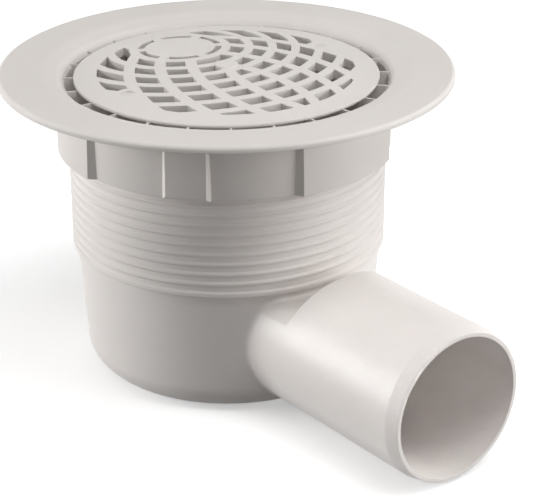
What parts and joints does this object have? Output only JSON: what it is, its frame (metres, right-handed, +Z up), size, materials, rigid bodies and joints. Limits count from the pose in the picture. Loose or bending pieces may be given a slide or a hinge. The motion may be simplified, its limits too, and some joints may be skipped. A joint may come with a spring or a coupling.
{
  "type": "floor drain",
  "caption": "Round plastic floor drain: tapered bucket with a horizontal outlet spigot, a flanged collar that screws up or down to floor level, and a loose crowned lattice grate.",
  "frame": {"origin": "centre of the flat base, on the bucket's axis", "axes": "+Z up along the bucket's axis, +X along the outlet spigot towards its mouth"},
  "size_m": [0.188, 0.148, 0.1029],
  "materials": {
    "body": "satin moulded white plastic",
    "collar": "satin moulded white plastic",
    "grate": "satin moulded white plastic"
  },
  "bodies": {
    "drain": {"body": "body"},
    "head": {"collar": "collar", "grate": "grate"}
  },
  "joints": [
    {"name": "collar_height", "type": "slide", "parent": "drain", "child": "head", "axis": [0, 0, 1], "range_m": [0, 0.006]}
  ]
}
